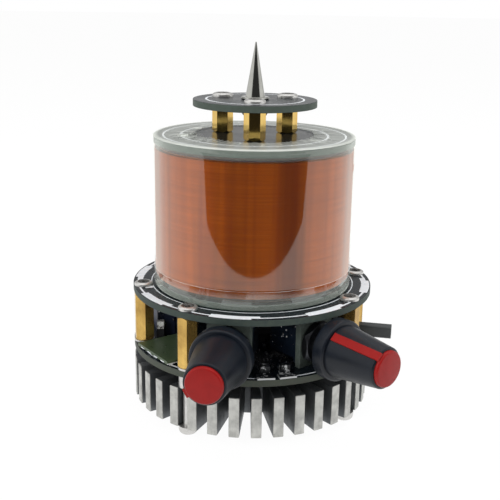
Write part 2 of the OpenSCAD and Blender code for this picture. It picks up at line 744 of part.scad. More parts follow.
// Every lead as [x, y, underside of its component above the driver board]
pot_seat = knob_axis_h - pot_w / 2;
function pot_leads(a, skew) = [for (i = [1 : 3])
    let (d = -i * pot_depth / 4, p = spot(a, pot_face + d * cos(skew), d * sin(skew))) [p.x, p.y, pot_seat]];
leads = concat(
    [for (p = can_places) for (s = [-1, 1]) [p.x + s * can_d / 4, p.y, 0]],
    [for (p = film_places) for (s = [-1, 1]) [p.x, p.y + s * film_l / 3, 0]],
    [for (s = [-1, 1]) [s * inductor_w / 3, inductor_place.y, 0]],
    [for (i = [1 : 3]) for (s = [-1, 1])
        let (p = spot(switch_angle, switch_face - i * switch_l / 4, s * switch_w / 3)) [p.x, p.y, 0]],
    [for (s = [-1, 0, 1])
        [s * socket_w / 3, board_r + socket_out - socket_l + (1 + abs(s)) * socket_l / 6, 0]],
    pot_leads(left_knob_angle, 0), pot_leads(right_knob_angle, right_skew_angle));

module component_leads() color("silver") for (p = leads)
    translate([p.x, p.y, driver_z - lead_out]) cylinder(d = lead_d, h = lead_out + pcb_t + p.z);

heat_sink();
foot_screws();
sink_spacers();
thermal_pads();
power_transistors();
driver_board();
side_screws();
base_standoffs();
standoff_washers();
coil_board();
coil_board_screws();
coil_mount_screws();
coil_mount_nuts();
bottom_flange();
coil_former();
secondary_core();
secondary_winding();
shrink_sleeve();
top_flange();
top_standoffs();
top_flange_screws();
top_disc();
top_disc_screws();
discharge_spike();
spike_nut();
left_pot_board();
left_pot_body();
left_pot_bushing();
left_pot_nut();
left_pot_shaft();
left_knob();
left_knob_cap();
right_pot_board();
right_pot_body();
right_pot_bushing();
right_pot_nut();
right_pot_shaft();
right_knob();
right_knob_cap();
switch_body();
switch_button();
power_socket();
socket_pin();
round_capacitors();
film_capacitors();
driver_chip();
storage_inductor();
wireless_module();
board_terminals();
component_leads();
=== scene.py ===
# %% [markdown]
# # A desktop resonant transformer
# A copper coil in clear film stands on a stack of two round boards and a finned
# heat sink, with two knobs, a push switch and a pointed spike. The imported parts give
# every shape its place. This script gives them their finishes, rounds their edges,
# and models what the parts don't hold: the fine winding with its loose end, the
# crinkled film, and the small parts that glint in the dark bays.

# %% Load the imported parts
import json
import math
import random

import bpy
from mathutils import Matrix, Vector, noise

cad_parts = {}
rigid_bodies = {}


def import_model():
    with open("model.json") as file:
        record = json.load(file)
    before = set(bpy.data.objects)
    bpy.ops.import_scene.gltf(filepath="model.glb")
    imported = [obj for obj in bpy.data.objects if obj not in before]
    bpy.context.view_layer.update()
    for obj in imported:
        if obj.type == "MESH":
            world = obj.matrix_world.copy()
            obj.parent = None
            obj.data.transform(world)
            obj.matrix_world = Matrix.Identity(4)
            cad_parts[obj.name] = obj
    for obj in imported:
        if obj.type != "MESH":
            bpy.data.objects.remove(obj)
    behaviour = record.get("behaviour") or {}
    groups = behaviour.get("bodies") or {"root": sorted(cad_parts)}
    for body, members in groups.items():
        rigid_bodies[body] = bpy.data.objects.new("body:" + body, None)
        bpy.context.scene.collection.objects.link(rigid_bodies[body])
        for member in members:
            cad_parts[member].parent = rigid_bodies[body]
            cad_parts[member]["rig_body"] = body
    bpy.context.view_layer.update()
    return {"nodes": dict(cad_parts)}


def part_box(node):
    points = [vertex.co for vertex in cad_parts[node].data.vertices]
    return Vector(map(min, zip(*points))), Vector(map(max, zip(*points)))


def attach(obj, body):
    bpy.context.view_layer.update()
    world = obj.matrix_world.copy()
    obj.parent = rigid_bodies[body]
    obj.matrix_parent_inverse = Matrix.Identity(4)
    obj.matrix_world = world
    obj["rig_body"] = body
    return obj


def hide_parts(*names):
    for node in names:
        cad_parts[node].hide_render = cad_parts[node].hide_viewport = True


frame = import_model()
MM = 0.001

# %% [markdown]
# ## Camera first
# The camera decides how everything else is judged, so it comes first. It was matched
# to the round boards, whose ellipses give its height and distance. It looks a little
# down on the object from the left of its front, and it is rolled by a degree.

# %% Set the camera
CAMERA_PLACE = Vector((-47.64, -206.33, 97.80)) * MM
CAMERA_AZIMUTH = math.radians(-13)
CAMERA_PITCH = 0.2805
CAMERA_YAW = -0.003
CAMERA_ROLL = 0.0163
LENS = 62.71

camera_data = bpy.data.cameras.new("camera")
camera_data.lens = LENS
camera_data.sensor_width = 36
camera_data.clip_start = 0.01
camera_data.clip_end = 20
camera = bpy.data.objects.new("camera", camera_data)
bpy.context.scene.collection.objects.link(camera)
bpy.context.scene.camera = camera

look = Vector((math.sin(CAMERA_YAW) * math.cos(CAMERA_PITCH),
               math.cos(CAMERA_YAW) * math.cos(CAMERA_PITCH), -math.sin(CAMERA_PITCH)))
right = Vector((math.cos(CAMERA_YAW), -math.sin(CAMERA_YAW), 0))
up = right.cross(look)
camera_x = math.cos(CAMERA_ROLL) * right + math.sin(CAMERA_ROLL) * up
camera_y = math.cos(CAMERA_ROLL) * up - math.sin(CAMERA_ROLL) * right
turn = Matrix.Rotation(CAMERA_AZIMUTH, 3, "Z") @ Matrix((camera_x, camera_y, -look)).transposed()
camera.matrix_world = Matrix.Translation(CAMERA_PLACE) @ turn.to_4x4()
print("camera at", [round(v / MM) for v in camera.location], "mm")

# %% [markdown]
# ## Selecting before working
# An operator acts on everything that is selected, and the loader leaves its parts
# selected. So each piece starts from an empty selection. These helpers do that, open
# and close a mesh for editing, and finish a piece by giving it its finish, hanging it on
# its body and hiding the imported parts that it stands for.

# %% Helpers for selecting and for handing a piece over
def only(piece):
    """Selects one object and makes it the active one."""
    if bpy.context.object and bpy.context.object.mode != "OBJECT":
        bpy.ops.object.mode_set(mode="OBJECT")
    bpy.ops.object.select_all(action="DESELECT")
    piece.select_set(True)
    bpy.context.view_layer.objects.active = piece


def hand_over(piece, body, finish, nodes=()):
    """Gives a piece its finish and its body, and hides the imported parts that it stands for."""
    piece.data.materials.clear()
    piece.data.materials.append(finish)
    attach(piece, body)
    if nodes:
        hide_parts(*nodes)
    return piece


def edit_all():
    """Opens the active mesh with all of it selected."""
    bpy.ops.object.mode_set(mode="EDIT")
    bpy.ops.mesh.select_all(action="SELECT")


def close_smooth():
    """Turns the open mesh's faces outward, closes it and shades it smooth."""
    bpy.ops.mesh.select_all(action="SELECT")
    bpy.ops.mesh.normals_make_consistent(inside=False)
    bpy.ops.object.mode_set(mode="OBJECT")
    bpy.ops.object.shade_smooth()


def circle(name, sides, radius, place=(0, 0, 0), **more):
    """Adds a circle, with its place and turn taken into its points."""
    bpy.ops.object.select_all(action="DESELECT")
    bpy.ops.mesh.primitive_circle_add(vertices=sides, radius=radius, location=place, **more)
    made = bpy.context.object
    made.name = name
    bpy.ops.object.transform_apply(location=True, rotation=True, scale=True)
    return made


def triangles(piece):
    """Counts a mesh's triangles."""
    return sum(len(face.vertices) - 2 for face in piece.data.polygons)


# %% [markdown]
# ## Nodes with less typing
# Every finish is a small network of shader nodes. These helpers keep them readable:
# one adds a node and fills its sockets, one does arithmetic, one opens a new group
# with named sockets, and the others are steps that many finishes share.

# %% Helpers for shader nodes
def add(tree, kind, inputs=(), **settings):
    """Adds a shader node; inputs maps socket names or numbers to values or to other sockets."""
    made = tree.nodes.new("ShaderNode" + kind)
    for name, value in settings.items():
        setattr(made, name, value)
    for name, value in dict(inputs).items():
        if isinstance(value, bpy.types.NodeSocket):
            tree.links.new(value, made.inputs[name])
        else:
            made.inputs[name].default_value = value
    return made


def calc(tree, operation, *values, clamp=False):
    """One arithmetic step on sockets or numbers."""
    made = add(tree, "Math", enumerate(values), operation=operation, use_clamp=clamp)
    return made.outputs[0]


def total(tree, *values):
    """The sum of sockets or numbers."""
    found = values[0]
    for value in values[1:]:
        found = calc(tree, "ADD", found, value)
    return found


def times(tree, first, second):
    """The product of two sockets or numbers."""
    return calc(tree, "MULTIPLY", first, second)


def above(tree, value, floor, gain):
    """What a value has above a floor, times the gain, kept between 0 and 1."""
    return calc(tree, "MULTIPLY", calc(tree, "SUBTRACT", value, floor), gain, clamp=True)


def ramp(tree, value, low, high, at_low, at_high, kind="LINEAR"):
    """Goes from at_low to at_high as the value goes from low to high, and no further."""
    return add(tree, "MapRange", {0: value, 1: low, 2: high, 3: at_low, 4: at_high},
               interpolation_type=kind).outputs[0]


def blend_values(tree, share, first, second):
    """Goes from the first value to the second as share goes from 0 to 1."""
    return total(tree, times(tree, share, second),
                 times(tree, calc(tree, "SUBTRACT", 1, share), first))


def blend_colours(tree, share, first, second):
    """Goes from the first colour to the second as share goes from 0 to 1."""
    made = add(tree, "Mix", {0: share, 6: first, 7: second}, data_type="RGBA")
    return made.outputs[2]


def object_place(tree):
    """Where the shaded point is, in its object's own coordinates."""
    return add(tree, "TexCoord").outputs["Object"]


def split(tree, vector):
    """The three parts of a vector."""
    return add(tree, "SeparateXYZ", {0: vector}).outputs


def vector_of(tree, x=0, y=0, z=0):
    """A vector from sockets or numbers."""
    return add(tree, "CombineXYZ", {0: x, 1: y, 2: z}).outputs[0]


def noise_at(tree, vector, scale, detail, rough):
    """The outputs of a noise texture."""
    return add(tree, "TexNoise", {"Vector": vector, "Scale": scale, "Detail": detail,
                                  "Roughness": rough}).outputs


def rgb(red, green, blue):
    """A colour as it looks on screen, in steps of 255, turned to linear light."""
    def linear(step):
        share = step / 255
        return share / 12.92 if share < 0.04045 else ((share + 0.055) / 1.055) ** 2.4
    return (linear(red), linear(green), linear(blue), 1)


def new_group(name, inputs, outputs):
    """Opens a shader group with named inputs, each (kind, default), and outputs."""
    tree = bpy.data.node_groups.new(name, "ShaderNodeTree")
    for label, (kind, default) in inputs.items():
        socket = tree.interface.new_socket(label, in_out="INPUT", socket_type=kind)
        socket.default_value = default
    for label, kind in outputs.items():
        tree.interface.new_socket(label, in_out="OUTPUT", socket_type=kind)
    return tree, tree.nodes.new("NodeGroupInput"), tree.nodes.new("NodeGroupOutput")


print("node helpers ready")

# %% [markdown]
# ## One group for every worn or moulded surface
# No real surface has one flat colour. Moulded plastic, plated steel and turned brass
# all vary in shade and gloss by small amounts, and carry a grain. This group does all
# three from noise on object coordinates. Stretch makes the grain long in one direction,
# as milling and drawing do.

# %% Build the surface group
FLOAT, COLOUR, VECTOR = "NodeSocketFloat", "NodeSocketColor", "NodeSocketVector"
PATCH_FLOOR, PATCH_GAIN, PATCH_SHARE = 0.35, 3.3, 0.55
MIDDLE_SHADE = 0.4
surface, surface_in, surface_out = new_group(
    "worn_surface",
    {"Colour": (COLOUR, (0.5, 0.5, 0.5, 1)), "Worn Colour": (COLOUR, (0.5, 0.5, 0.5, 1)),
     "Wear": (FLOAT, 0.5), "Roughness": (FLOAT, 0.4), "Roughness Spread": (FLOAT, 0.1),
     "Patch Scale": (FLOAT, 150), "Grain Scale": (FLOAT, 2500), "Stretch": (VECTOR, (1, 1, 1))},
    {"Colour": COLOUR, "Roughness": FLOAT, "Height": FLOAT})
given = surface_in.outputs
place = object_place(surface)
stretched = add(surface, "Mapping", {"Vector": place, "Scale": given["Stretch"]})
patches = noise_at(surface, place, given["Patch Scale"], 4, 0.6)["Fac"]
grain = noise_at(surface, stretched.outputs[0], given["Grain Scale"], 3, 0.65)["Fac"]
patchy = above(surface, patches, PATCH_FLOOR, PATCH_GAIN)
mixed = total(surface, times(surface, patchy, PATCH_SHARE),
              times(surface, grain, 1 - PATCH_SHARE))
worn_share = calc(surface, "MULTIPLY", mixed, given["Wear"], clamp=True)
uneven = times(surface, calc(surface, "SUBTRACT", mixed, MIDDLE_SHADE), given["Roughness Spread"])
surface.links.new(blend_colours(surface, worn_share, given["Colour"], given["Worn Colour"]),
                  surface_out.inputs["Colour"])
surface.links.new(calc(surface, "ADD", given["Roughness"], uneven, clamp=True),
                  surface_out.inputs["Roughness"])
surface.links.new(grain, surface_out.inputs["Height"])
print("surface group:", len(surface.nodes), "nodes")

# %% [markdown]
# ## A finish from the group
# Most finishes here are one group, one bump and one Principled shader. What differs is
# metal or plastic, the two colours, the gloss and the grain, so one function makes them.

# %% Define a finish maker
def start_finish(name):
    """Opens a material with an empty tree, and returns it with its tree."""
    finish = bpy.data.materials.new(name)
    finish.use_nodes = True
    finish.node_tree.nodes.clear()
    return finish, finish.node_tree


def end_finish(tree, shader):
    """Leads a shader to the material's output."""
    output = tree.nodes.new("ShaderNodeOutputMaterial")
    tree.links.new(shader.outputs[0], output.inputs["Surface"])


def dress(tree, inputs):
    """Ends a finish with a Principled shader."""
    end_finish(tree, add(tree, "BsdfPrincipled", inputs))


def worn(tree, colour, worn_colour, wear=0.5, rough=0.4, spread=0.15, patch=150, grain=2500,
         stretch=(1, 1, 1)):
    """Places the surface group in a material, and gives its outputs."""
    return add(tree, "Group", {
        "Colour": colour, "Worn Colour": worn_colour, "Wear": wear, "Roughness": rough,
        "Roughness Spread": spread, "Patch Scale": patch, "Grain Scale": grain,
        "Stretch": stretch}, node_tree=surface).outputs


def bump(tree, height, distance, strength=1.0):
    """A normal from a height, with the relief's real depth in metres."""
    return add(tree, "Bump",
               {"Height": height, "Distance": distance, "Strength": strength}).outputs[0]


def finish_of(name, colour, worn_colour, metal=0.0, relief=0.00001, gloss=0.5, coat=0.0, **look):
    """A whole finish: varied colour and gloss, with a fine relief."""
    finish, tree = start_finish(name)
    group = worn(tree, colour, worn_colour, **look)
    dress(tree, {
        "Base Color": group["Colour"], "Roughness": group["Roughness"],
        "Metallic": metal, "Specular IOR Level": gloss, "Coat Weight": coat,
        "Normal": bump(tree, group["Height"], relief)})
    return finish


print("finish maker ready")

# %% [markdown]
# ## Where things are
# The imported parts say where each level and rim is. Reading them here keeps the new
# pieces on the parts that carry them.

# %% Read the levels and radii
board_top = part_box("coil_board")[1].z
driver_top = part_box("driver_board")[1].z
flange_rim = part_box("bottom_flange")[1].x
coil_low, coil_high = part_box("bottom_flange")[1].z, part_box("top_flange")[0].z
flange_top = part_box("top_flange")[1].z
table_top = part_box("foot_screws")[0].z
print("levels in mm:", [round(v / MM, 1) for v in (table_top, driver_top, board_top, flange_top)])

# %% [markdown]
# ## Metals
# Aluminium, nickel plate, steel, brass and the polished spike differ in tint and gloss.
# The fins are cut with the grain upright, so their grain is stretched along Z. Brass
# bar is drawn, so its grain is long too. Plated screws keep a soft, nearly clean gloss.

# %% Make the metals
SPOT_EDGE = 0.06
nickel = finish_of("nickel_plate", rgb(222, 221, 218), rgb(150, 148, 144), metal=0.85, wear=0.4,
                   rough=0.32, patch=700, grain=4000, relief=0.000004)
steel = finish_of("darkened_steel", rgb(96, 98, 102), rgb(52, 54, 58), metal=1.0, wear=0.6,
                  patch=500, grain=3000, relief=0.000006)
spike_metal = finish_of("polished_spike", rgb(186, 186, 180), rgb(112, 110, 106), metal=1.0,
                        wear=0.3, rough=0.1, spread=0.1, patch=500, grain=5000,
                        relief=0.000003)
brass = finish_of("drawn_brass", rgb(234, 196, 110), rgb(122, 84, 34), metal=0.74, wear=0.9,
                  rough=0.13, spread=0.1, patch=160, grain=900, stretch=(1, 1, 0.03),
                  relief=0.000006)
bright_brass = finish_of("bright_brass", rgb(240, 204, 116), rgb(168, 122, 54), metal=1.0,
                         wear=0.45, rough=0.1, spread=0.08, patch=160, grain=900,
                         stretch=(1, 1, 0.03), relief=0.000004)
solder = finish_of("tinned_solder", rgb(205, 205, 205), rgb(135, 135, 138), metal=1.0, wear=0.6,
                   rough=0.28, patch=900, grain=3500)


def spotted_with_painted_light(name, dark_from, light=rgb(186, 188, 188), dark=rgb(12, 15, 20), speck=800,
            lit_from=0.56):
    """Tin whose upper part, above a height, is dark with bright spots of painted light; lit_from
    sets how much of it they cover.
    """
    finish, tree = start_finish(name)
    place = object_place(tree)
    specks = noise_at(tree, place, speck, 3, 0.7)["Fac"]
    # The bright spots are painted light.
    lit = ramp(tree, specks, lit_from, lit_from + SPOT_EDGE, 0.0, 1.0)
    low = calc(tree, "LESS_THAN", split(tree, place)[2], dark_from)
    tin = worn(tree, light, rgb(176, 178, 178), rough=0.35, patch=700)
    dress(tree, {
        "Base Color": blend_colours(tree, calc(tree, "MAXIMUM", lit, low), dark, tin["Colour"]),
        "Roughness": tin["Roughness"], "Metallic": 0.3,
        "Normal": bump(tree, specks, 0.00005)})
    return finish


# On the terminals the bright specks are painted glints.
terminal_metal = spotted_with_painted_light("terminal_metal", driver_top + 0.45 * MM)
# The small can's near-white colour with dark mottling is painted light, standing in for its
# reflections.
tin_with_painted_light = spotted_with_painted_light("tin_with_painted_light", 0, light=rgb(248, 248, 244), dark=rgb(96, 94, 92),
                      speck=1100, lit_from=0.42)
print("metals:", [m.name for m in (nickel, steel, spike_metal, brass, bright_brass, solder)])

# %% [markdown]
# ## Plastics and rubber
# The knobs are black with a fine spark-eroded texture that scatters light softly. Their
# caps are pressed from glossier red plastic. Housings and cans are duller or shinier
# blacks, so that they part from each other in the dark bay between the boards.

# %% Make the plastics
knob_black = finish_of("knob_black", rgb(9, 14, 21), rgb(19, 25, 35), wear=0.6, rough=0.36,
                       spread=0.14, patch=350, grain=5200, relief=0.000012, gloss=0.35)
cap_red = finish_of("cap_red", rgb(138, 18, 15), rgb(112, 11, 11), rough=0.34, spread=0.1,
                    patch=420, grain=4200, relief=0.000006, gloss=0.25)
housing_black = finish_of("housing_black", rgb(24, 24, 26), rgb(44, 44, 46), rough=0.45,
                          patch=300, grain=3800)
stem_black = finish_of("stem_black", rgb(46, 50, 50), rgb(66, 70, 70), rough=0.42, patch=400,
                       grain=4200)
pot_blue = finish_of("pot_housing", rgb(16, 24, 36), rgb(28, 38, 52), rough=0.35, patch=300,
                     grain=3600, relief=0.000008)
can_black = finish_of("can_sleeve", rgb(16, 17, 24), rgb(28, 29, 38), wear=0.4, rough=0.3,
                      patch=260, grain=3000, relief=0.000006, coat=0.3)
film_cap_dark = finish_of("film_capacitor", rgb(26, 32, 52), rgb(40, 48, 70), rough=0.55,
                          patch=260, grain=3000, relief=0.000012, gloss=0.25)
ferrite = finish_of("ferrite", rgb(46, 46, 48), rgb(70, 70, 72), wear=0.6, rough=0.6, patch=300,
                    grain=2600, relief=0.00002)
former_plastic = finish_of("former_tube", rgb(86, 54, 34), rgb(60, 38, 26), rough=0.5, patch=120,
                           grain=2200)
pad_grey = finish_of("heat_pad", rgb(120, 132, 150), rgb(98, 108, 124), wear=0.6, rough=0.8,
                     patch=300, grain=2600, relief=0.00002)
print("plastics ready")

# %% [markdown]
# ## Rings and arcs printed on round boards
# The boards carry printed white rings and arcs, which are paint, not shape. They are
# worked out in the material from the distance to the coil's axis and from the angle
# round it. A group gives both, and three helpers cut bands, arcs and dots from them.

# %% Build the polar group and the printing helpers
polar, _, polar_out = new_group(
    "round_the_axis", {}, {"Radius": FLOAT, "Angle": FLOAT, "Upward": FLOAT})
axes = split(polar, object_place(polar))
square = total(polar, times(polar, axes[0], axes[0]), times(polar, axes[1], axes[1]))
from_front = calc(polar, "ARCTAN2", axes[0], times(polar, axes[1], -1))
normal = split(polar, add(polar, "NewGeometry").outputs["Normal"])
for label, value in (("Radius", calc(polar, "DIVIDE", calc(polar, "SQRT", square), MM)),
                     ("Angle", calc(polar, "DEGREES", from_front)), ("Upward", normal[2])):
    polar.links.new(value, polar_out.inputs[label])


def round_the_axis(tree):
    """Places the polar group: radius in mm, angle in degrees from the front, upwardness."""
    return add(tree, "Group", node_tree=polar).outputs


def band(tree, value, middle, width):
    """1 where value is within half the width of the middle."""
    off = calc(tree, "ABSOLUTE", calc(tree, "SUBTRACT", value, middle))
    return calc(tree, "LESS_THAN", off, width / 2)


def either(tree, *masks):
    """The greatest of several masks."""
    found = masks[0]
    for mask in masks[1:]:
        found = calc(tree, "MAXIMUM", found, mask)
    return found


def repeated(tree, angle, every):
    """The angle from the middle of the nearest of the arcs that repeat every so often."""
    off = calc(tree, "WRAP", angle, every, 0)
    return calc(tree, "SUBTRACT", off, every / 2)


# %% [markdown]
# ## Fins with milled ends
# The heat sink's fins are darker grey on their sides, where the sawn slots are; this is
# partly the duller sawn finish and partly painted shade, for the shade between the fins
# and under the board. Their ends were turned round with the whole bar, so they are
# bright, with fine upright streaks and darker blotches. The distance from the axis tells
# the two apart.

# %% Make the fins' finish
END_FROM = 29.75
fin_metal, tree = start_finish("fin_aluminium")
place = round_the_axis(tree)
ends = worn(tree, rgb(206, 206, 201), rgb(150, 150, 147), wear=0.9, rough=0.38, spread=0.3,
            patch=380, grain=1900, stretch=(1, 1, 0.1))
# The sides' darker grey is partly their sawn finish and partly painted shade.
sides = worn(tree, rgb(122, 125, 127), rgb(76, 79, 82), wear=0.7, rough=0.5, spread=0.2,
             patch=240, grain=1500, stretch=(1, 1, 0.2))
at_end = calc(tree, "GREATER_THAN", place["Radius"], END_FROM)
dress(tree, {
    "Base Color": blend_colours(tree, at_end, sides["Colour"], ends["Colour"]),
    "Roughness": blend_values(tree, at_end, sides["Roughness"], ends["Roughness"]),
    "Metallic": 0.85, "Normal": bump(tree, ends["Height"], 0.00002)})
print("fins ready")

# %% [markdown]
# ## Board finish
# A board is woven glass and resin. Its faces wear a black lacquer with a slight orange
# peel, and its cut edge shows the grey-green core in thin layers. One maker builds all
# the round boards and the upright ones; each gets its own printing, or none.

# %% Make the boards
FACE_FROM = 0.5
PEEL, INK_RELIEF = 0.25, 0.00003
RIM_RING = 28.75


def board_finish(name, printing, lacquer=rgb(13, 21, 27), core=rgb(45, 55, 54),
                 ink=rgb(226, 230, 234), rough=0.24):
    """A lacquered board with printing on its upper face and a bare cut edge."""
    finish, tree = start_finish(name)
    place = round_the_axis(tree)
    face = worn(tree, lacquer, rgb(32, 37, 41), rough=rough, spread=0.12, patch=220, grain=1800)
    edge = worn(tree, core, rgb(64, 72, 64), wear=0.8, rough=0.55, spread=0.2, patch=600,
                grain=2400, stretch=(0.2, 0.2, 2.5))
    flat = calc(tree, "GREATER_THAN", calc(tree, "ABSOLUTE", place["Upward"]), FACE_FROM)
    colour = blend_colours(tree, flat, edge["Colour"], face["Colour"])
    height = times(tree, face["Height"], PEEL)
    if printing:
        top = calc(tree, "GREATER_THAN", place["Upward"], FACE_FROM)
        mask = times(tree, top, printing(tree, place["Radius"], place["Angle"]))
        colour = blend_colours(tree, mask, colour, ink)
        height = total(tree, height, mask)
    dress(tree, {
        "Base Color": colour, "Specular IOR Level": 0.22,
        "Roughness": blend_values(tree, flat, edge["Roughness"], face["Roughness"]),
        "Normal": bump(tree, height, INK_RELIEF)})
    return finish


def coil_board_printing(tree, radius, angle):
    """A thin ring with thick stepped arcs near the rim, a ring round the coil, and a dot."""
    near = repeated(tree, angle, 45)
    outer = band(tree, radius, RIM_RING, 0.5)
    thick = times(tree, band(tree, near, 0, 19), band(tree, radius, RIM_RING, 1.9))
    step = times(tree, band(tree, near, 3, 21), band(tree, radius, 28.35, 1.4))
    inner = band(tree, radius, 25.45, 0.26)
    dot = times(tree, band(tree, angle, -86, 4.2), band(tree, radius, 26.6, 1.9))
    return either(tree, outer, thick, step, inner, dot)


def driver_board_printing(tree, radius, angle):
    """Broken arcs near the rim."""
    near = repeated(tree, angle, 30)
    return times(tree, band(tree, radius, 28.9, 0.45), band(tree, near, 0, 22))


def flange_printing(tree, radius, angle):
    """Two rings."""
    return either(tree, band(tree, radius, 22.2, 0.5), band(tree, radius, 17.9, 0.6))


def top_disc_printing(tree, radius, angle):
    """One ring near the rim."""
    return band(tree, radius, 11.8, 0.5)


coil_board_look = board_finish("coil_board_lacquer", coil_board_printing)
driver_board_look = board_finish("driver_board_lacquer", driver_board_printing,
                                 core=rgb(66, 68, 60))
flange_look = board_finish("flange_lacquer", flange_printing, lacquer=rgb(34, 40, 44),
                           core=rgb(80, 95, 86), rough=0.2)
disc_look = board_finish("top_disc_lacquer", top_disc_printing, core=rgb(70, 80, 74))
# The potentiometer boards' lacquer and core are painted light grey-green: painted light on faces
# that lie in shade.
pot_board_lightened = board_finish("pot_board_painted_light", None, lacquer=rgb(90, 98, 96),
                              core=rgb(92, 100, 96))
print("boards ready")

# %% [markdown]
# ## The small green board
# The board in the left bay is olive green. Along its outer edge the lower half of its
# side is tinned at an even pitch, as half-holes are. The pitch is measured sideways, so
# it needs a coordinate that is turned with the board.

# %% Make the small green board
MODULE_TURN = math.radians(-67.5)
PAD_PITCH, PAD_LONG = 3.2, 1.7
module_middle = (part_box("wireless_module")[0].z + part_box("wireless_module")[1].z) / 2
module_look, tree = start_finish("module_lacquer")
spot = split(tree, object_place(tree))
sideways = calc(tree, "DIVIDE", total(tree, times(tree, spot[0], math.cos(MODULE_TURN)),
                                      times(tree, spot[1], math.sin(MODULE_TURN))), MM)
pads = band(tree, repeated(tree, sideways, PAD_PITCH), 0, PAD_LONG)
low_half = calc(tree, "LESS_THAN", spot[2], module_middle)
upright = calc(tree, "LESS_THAN", round_the_axis(tree)["Upward"], FACE_FROM)
tinned = times(tree, upright, times(tree, pads, low_half))
lacquer = worn(tree, rgb(58, 72, 52), rgb(74, 88, 62), wear=0.7, rough=0.3, patch=420, grain=1500)
dress(tree, {
    "Base Color": blend_colours(tree, tinned, lacquer["Colour"], rgb(226, 230, 232)),
    "Roughness": lacquer["Roughness"],
    "Normal": bump(tree, lacquer["Height"], 0.00001)})
print("small board ready")

# %% [markdown]
# ## Dished screw heads
# The boards' screws are bright at the rim. The middle of each top is painted dark: painted
# shade for the dished recess. All of one board's screws stand on one circle at even
# angles, so the distance to the nearest screw's middle is worked out from the radius and
# the angle.

# %% Make the screw heads
TOP_FROM = 0.7


def dished(name, circle, every, shade_radius, first=0):
    """Nickel screw heads on a circle round the axis; the middle of each top is painted shade for
    its dished recess.
    """
    finish, tree = start_finish(name)
    place = round_the_axis(tree)
    group = worn(tree, rgb(222, 221, 218), rgb(150, 148, 144), wear=0.4, rough=0.3, patch=700,
                 grain=4000)
    turned = repeated(tree, total(tree, place["Angle"], every / 2 - first), every)
    across = times(tree, turned, circle * math.pi / 180)
    along = calc(tree, "SUBTRACT", place["Radius"], circle)
    from_middle = calc(tree, "SQRT", total(tree, times(tree, across, across),
                                           times(tree, along, along)))
    # The dark middle of each top is painted shade.
    painted_recess_shade = times(tree, calc(tree, "LESS_THAN", from_middle, shade_radius),
                    calc(tree, "GREATER_THAN", place["Upward"], TOP_FROM))
    dress(tree, {
        "Base Color": blend_colours(tree, painted_recess_shade, group["Colour"], rgb(84, 82, 80)),
        "Roughness": total(tree, group["Roughness"], times(tree, painted_recess_shade, 0.2)),
        "Metallic": 0.85, "Normal": bump(tree, group["Height"], 0.000004)})
    return finish


coil_screw_look = dished("coil_board_nickel", 27.6, 45, 1.5)
disc_screw_look = dished("top_disc_nickel", 9.2, 120, 1.55, first=-13)
print("screw heads ready")

# %% [markdown]
# ## Rounded edges
# A perfectly sharp edge gives a model away, because it never catches the light. The
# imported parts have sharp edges, and they may not be changed. So each part that shows is
# copied, its loose triangles are merged and its flat faces are cleaned, and a bevel
# modifier rounds its edges by a tenth of a millimetre or so. Hardened normals keep the
# flat faces flat, so that polished ones mirror truly. The copy then stands for the part.

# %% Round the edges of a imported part
MERGE = 2e-6
FLAT_ANGLE = math.radians(0.6)
SHARP_ANGLE = math.radians(28)


def rounded(node, finish, rounding, segments=2):
    """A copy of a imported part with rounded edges, which stands for it."""
    source = frame["nodes"][node]
    piece = bpy.data.objects.new("rounded_" + node, source.data.copy())
    bpy.context.scene.collection.objects.link(piece)
    only(piece)
    if piece.data.has_custom_normals:
        bpy.ops.mesh.customdata_custom_splitnormals_clear()
    edit_all()
    bpy.ops.mesh.remove_doubles(threshold=MERGE)
    bpy.ops.mesh.dissolve_limited(angle_limit=FLAT_ANGLE)
    bpy.ops.object.mode_set(mode="OBJECT")
    bpy.ops.object.shade_smooth_by_angle(angle=SHARP_ANGLE)
    if rounding:
        bevel = piece.modifiers.new("rounding", "BEVEL")
        bevel.width = rounding * MM
        bevel.segments = segments
        bevel.limit_method = "ANGLE"
        bevel.harden_normals = True
        bevel.angle_limit = SHARP_ANGLE
        bpy.ops.object.modifier_apply(modifier=bevel.name)
    return hand_over(piece, source["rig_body"], finish, [node])


ROUNDED = {
    "heat_sink": (fin_metal, 0.15), "foot_screws": (nickel, 0.08), "sink_spacers": (nickel, 0.1),
    "driver_board": (driver_board_look, 0.08), "side_screws": (nickel, 0.08),
    "base_standoffs": (brass, 0.12), "standoff_washers": (nickel, 0.06),
    "coil_board": (coil_board_look, 0.08), "coil_board_screws": (coil_screw_look, 0.08),
    "bottom_flange": (flange_look, 0.08), "top_flange": (flange_look, 0.08),
    "top_standoffs": (bright_brass, 0.12), "top_disc": (disc_look, 0.08),
    "top_disc_screws": (disc_screw_look, 0.08), "discharge_spike": (spike_metal, 0.06),
    "spike_nut": (steel, 0.1), "switch_body": (housing_black, 0.15),
    "switch_button": (stem_black, 0.12), "power_socket": (housing_black, 0.2),
    "socket_pin": (steel, 0), "round_capacitors": (can_black, 0.1),
    "film_capacitors": (film_cap_dark, 0.4), "driver_chip": (housing_black, 0.06),
    "storage_inductor": (ferrite, 0.4), "wireless_module": (module_look, 0.05),
    "board_terminals": (terminal_metal, 0.06)}
for side in ("left", "right"):
    ROUNDED[side + "_pot_board"] = (pot_board_lightened, 0.08)
    ROUNDED[side + "_pot_body"] = (pot_blue, 0.2)
    ROUNDED[side + "_pot_bushing"] = (steel, 0.1)
    ROUNDED[side + "_pot_nut"] = (steel, 0.12)
    ROUNDED[side + "_pot_shaft"] = (steel, 0.1)
    ROUNDED[side + "_knob"] = (knob_black, 0.12)
    ROUNDED[side + "_knob_cap"] = (cap_red, 0.12)
for node, (finish, rounding) in ROUNDED.items():
    piece = rounded(node, finish, rounding)
    print(f"{piece.name}: {triangles(piece)} triangles")

